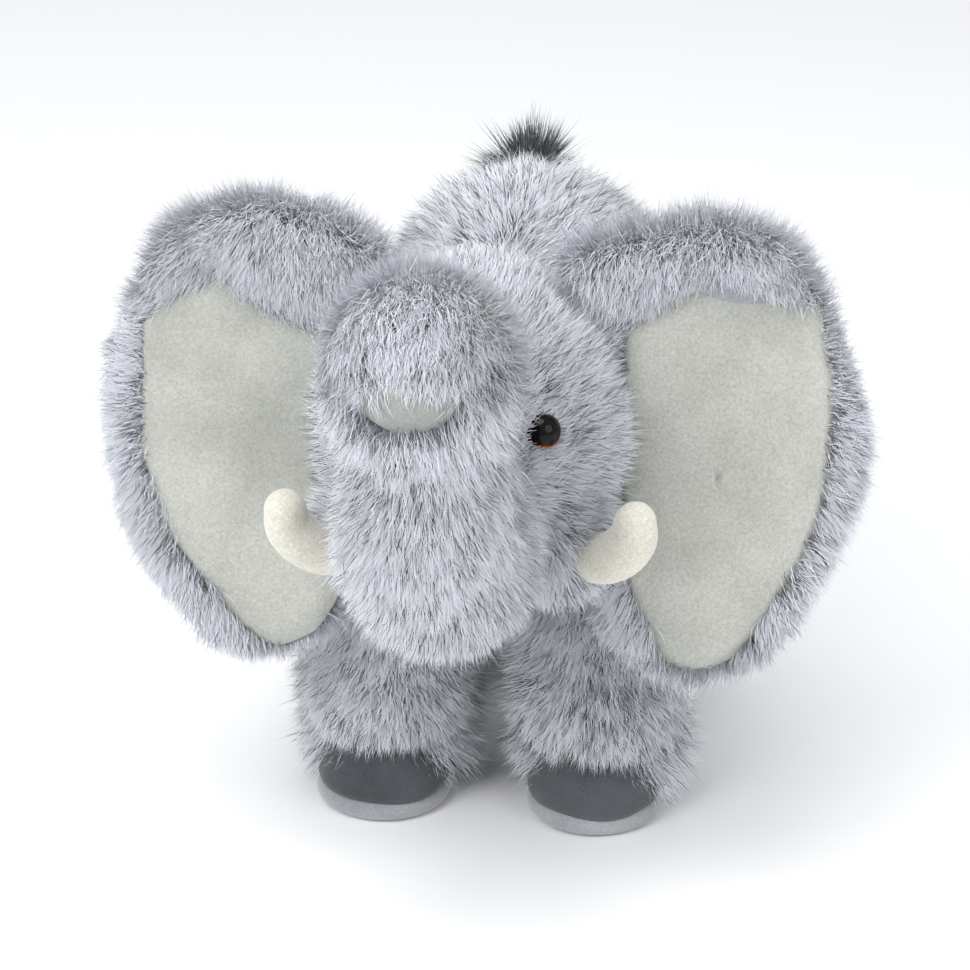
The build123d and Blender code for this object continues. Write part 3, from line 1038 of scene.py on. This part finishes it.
LEG_X = 41.0
LEG_LOCKS = 3600
LEG_PILE = 12.0
TORSO_EDGE = 112
HEM_BACK = 11
HEM_RISE = 22
FOOT_AHEAD = 5.0
TOE_RADIUS = 25.6
TOE_HEIGHT = 27
SOLE_SEAM = 8.3
SOLE_RADIUS = 21.6
SOLE_BULGE = 4.6
SPOKES = 72


def make_leg(kit, row, name):
    y0, x0 = LEG_ROWS[row], SIDES[name] * LEG_X
    label = f"{row}_{name}"
    stack = [(102, 28), (92, 28), (82, 27), (72, 26.5), (62, 26.5), (52, 27)]
    eggs = [((x0, y0, z), (r, r, r * 0.6)) for z, r in stack]
    eggs.append(((x0, y0 + 2, 42), (27, 24, 14)))
    eggs.append(((x0, y0 + 9, 22), (27, 19, 15)))
    skin_mesh = blob(f"leg_skin_{label}", eggs, 3.0, 8, lump=0.8, seed=81)
    seed = 90 + 2 * list(LEG_ROWS).index(row) + (SIDES[name] > 0)

    def hem(places):
        front = smoothstep(4, 24, y0 - places[:, 1])
        return HEM_BACK + HEM_RISE * front

    def comb(places, normals):
        away = unit((places - np.array([x0, y0, 0])) * LEVEL)
        low = smoothstep(60, 20, places[:, 2])[:, None]
        return away * 0.7 * low - UP

    def keep(places, normals):
        shown = places[:, 2] > hem(places)
        return shown * np.where(places[:, 2] > TORSO_EDGE, 0.5, 1.0)

    def length(places):
        front = smoothstep(0, 20, y0 - places[:, 1])
        return LEG_PILE + (3.0 - 4.5 * front) * smoothstep(60, 25, places[:, 2])

    fur = grow(
        f"leg_pile_{label}", skin_mesh, kit["pile"], LEG_LOCKS, seed, comb, length, lay=0.36,
        spread=3.3, width=0.17, keep=keep,
    )
    body = f"leg_{label}"
    attach(fur, body, [f"leg_sleeve_{label}"])
    skin = new_object(f"leg_skin_{label}", skin_mesh, kit["backing"])
    attach(skin, body, [f"leg_stuffing_{label}"])
    make_foot(kit, body, label, np.array([x0, y0 - FOOT_AHEAD, 0.0]))


def turned(name, centre, profile, seed, lump):
    """A closed, slightly uneven form turned about a vertical line.

    profile is (radius, height) points from the middle of its bottom to the middle of its top.
    """
    angles = circle(SPOKES)
    rows = [
        np.column_stack([np.cos(angles) * radius, np.sin(angles) * radius, np.full(SPOKES, height)])
        for radius, height in profile[1:-1]
    ]
    middles = [[[0, 0, profile[0][1]]], [[0, 0, profile[-1][1]]]]
    mesh = new_mesh(name, np.vstack(rows + middles) + centre, capped_faces(len(rows), SPOKES))
    smooth_faces(mesh)
    places, normals, _ = read(mesh)
    off_floor = smoothstep(0.5, 3.0, places[:, 2])[:, None]
    write_places(mesh, places + normals * drift(places, 12, seed)[:, :1] * lump * off_floor)
    return mesh


def make_foot(kit, body, label, centre):
    dome = [
        (0.0, SOLE_SEAM - 1.5), (TOE_RADIUS - 3.0, SOLE_SEAM - 1.2), (TOE_RADIUS - 0.8, SOLE_SEAM - 0.2),
    ]
    for degrees in range(5, 90, 5):
        lean = math.radians(degrees)
        dome.append((TOE_RADIUS * math.cos(lean) ** 0.9, SOLE_SEAM + TOE_HEIGHT * math.sin(lean)))
    dome.append((0.0, SOLE_SEAM + TOE_HEIGHT))
    cap = new_object(f"toe_cap_cover_{label}", turned("cap", centre, dome, seed=101, lump=0.5), kit["toe"])
    attach(cap, body, [f"toe_cap_{label}"])
    base = [(0.0, 0.0), (8, 0.0), (15, 0.05), (20.5, 0.3)]
    for degrees in range(-80, 100, 14):
        lean = math.radians(degrees)
        base.append((SOLE_RADIUS + SOLE_BULGE * math.cos(lean), 4.3 + 4.1 * math.sin(lean)))
    base += [(16.0, 8.4), (8.0, 8.4), (0.0, 8.4)]
    sole = new_object(f"sole_pad_{label}", turned("sole", centre, base, seed=103, lump=0.35), kit["sole"])
    attach(sole, body, [f"sole_{label}"])


# Tail

TAIL_PATH = [(0, 110, 178), (-1, 122, 184), (-3, 134, 190), (-5, 145, 197)]
TAIL_RADII = [7, 7, 6.5, 6]
TUFT = np.array([-7.0, 147.0, 196.0])
TUFT_RADIUS = 6
TUFT_WAY = unit(np.array([-0.1, 0.45, 0.9]))


def make_tail(kit):
    mesh = tube("tail_skin_tube", TAIL_PATH, TAIL_RADII, 24, 32)

    def comb(places, normals):
        return np.tile([0, 0.6, 0.3], (len(places), 1))

    def tuft_comb(places, normals):
        return np.tile(TUFT_WAY, (len(places), 1))

    def tuft_keep(places, normals):
        return (normals @ TUFT_WAY > -0.5) * 1.0

    fur = grow(
        "tail_pile", mesh, kit["pile"], 320, 111, comb, 7.5, lay=0.6, per_lock=12, spread=2.0, width=0.2,
    )
    attach(fur, "tail", ["tail_skin"])
    skin = new_object("tail_skin_tube", mesh, kit["backing"])
    attach(skin, "tail", ["tail_stuffing"])
    knob = blob("tuft_root", [(TUFT, (TUFT_RADIUS,) * 3)], 1.6, 3)
    tuft = grow(
        "tail_tuft_bristles", knob, kit["bristle"], 190, 113, tuft_comb, 19.0, lay=0.2, per_lock=14,
        spread=0.5, width=0.17, keep=tuft_keep, droop=0.0, gather=1.0, ruffle=0.2,
    )
    attach(tuft, "tail", ["tail_tuft"])
    core = new_object("tuft_root", knob, kit["bristle"])
    attach(core, "tail")


# Eye washers, behind the head's skin


def finish_washers():
    washer, nodes, links, shader = new_material("washer_plastic")
    grain = nodes.new("ShaderNodeTexNoise")
    grain.inputs["Scale"].default_value = 400.0
    shade = ramp(nodes, [(0.3, (0.6, 0.6, 0.6)), (0.7, (0.75, 0.75, 0.75))])
    links.new(grain.outputs["Fac"], shade.inputs["Fac"])
    links.new(shade.outputs["Color"], shader.inputs["Base Color"])
    for name in SIDES:
        mesh = frame["nodes"][f"eye_washer_{name}"].data
        mesh.materials.clear()
        mesh.materials.append(washer)


def main():
    make_studio()
    make_camera()
    kit = make_materials()
    make_torso(kit)
    make_head(kit)
    make_trunk(kit)
    for name, side in SIDES.items():
        make_ear(kit, name, side)
        make_tusk(kit, name, side)
    glass = eye_material()
    for name, side in SIDES.items():
        make_eye(glass, name, side)
    for row in LEG_ROWS:
        for name in SIDES:
            make_leg(kit, row, name)
    make_tail(kit)
    finish_washers()


main()
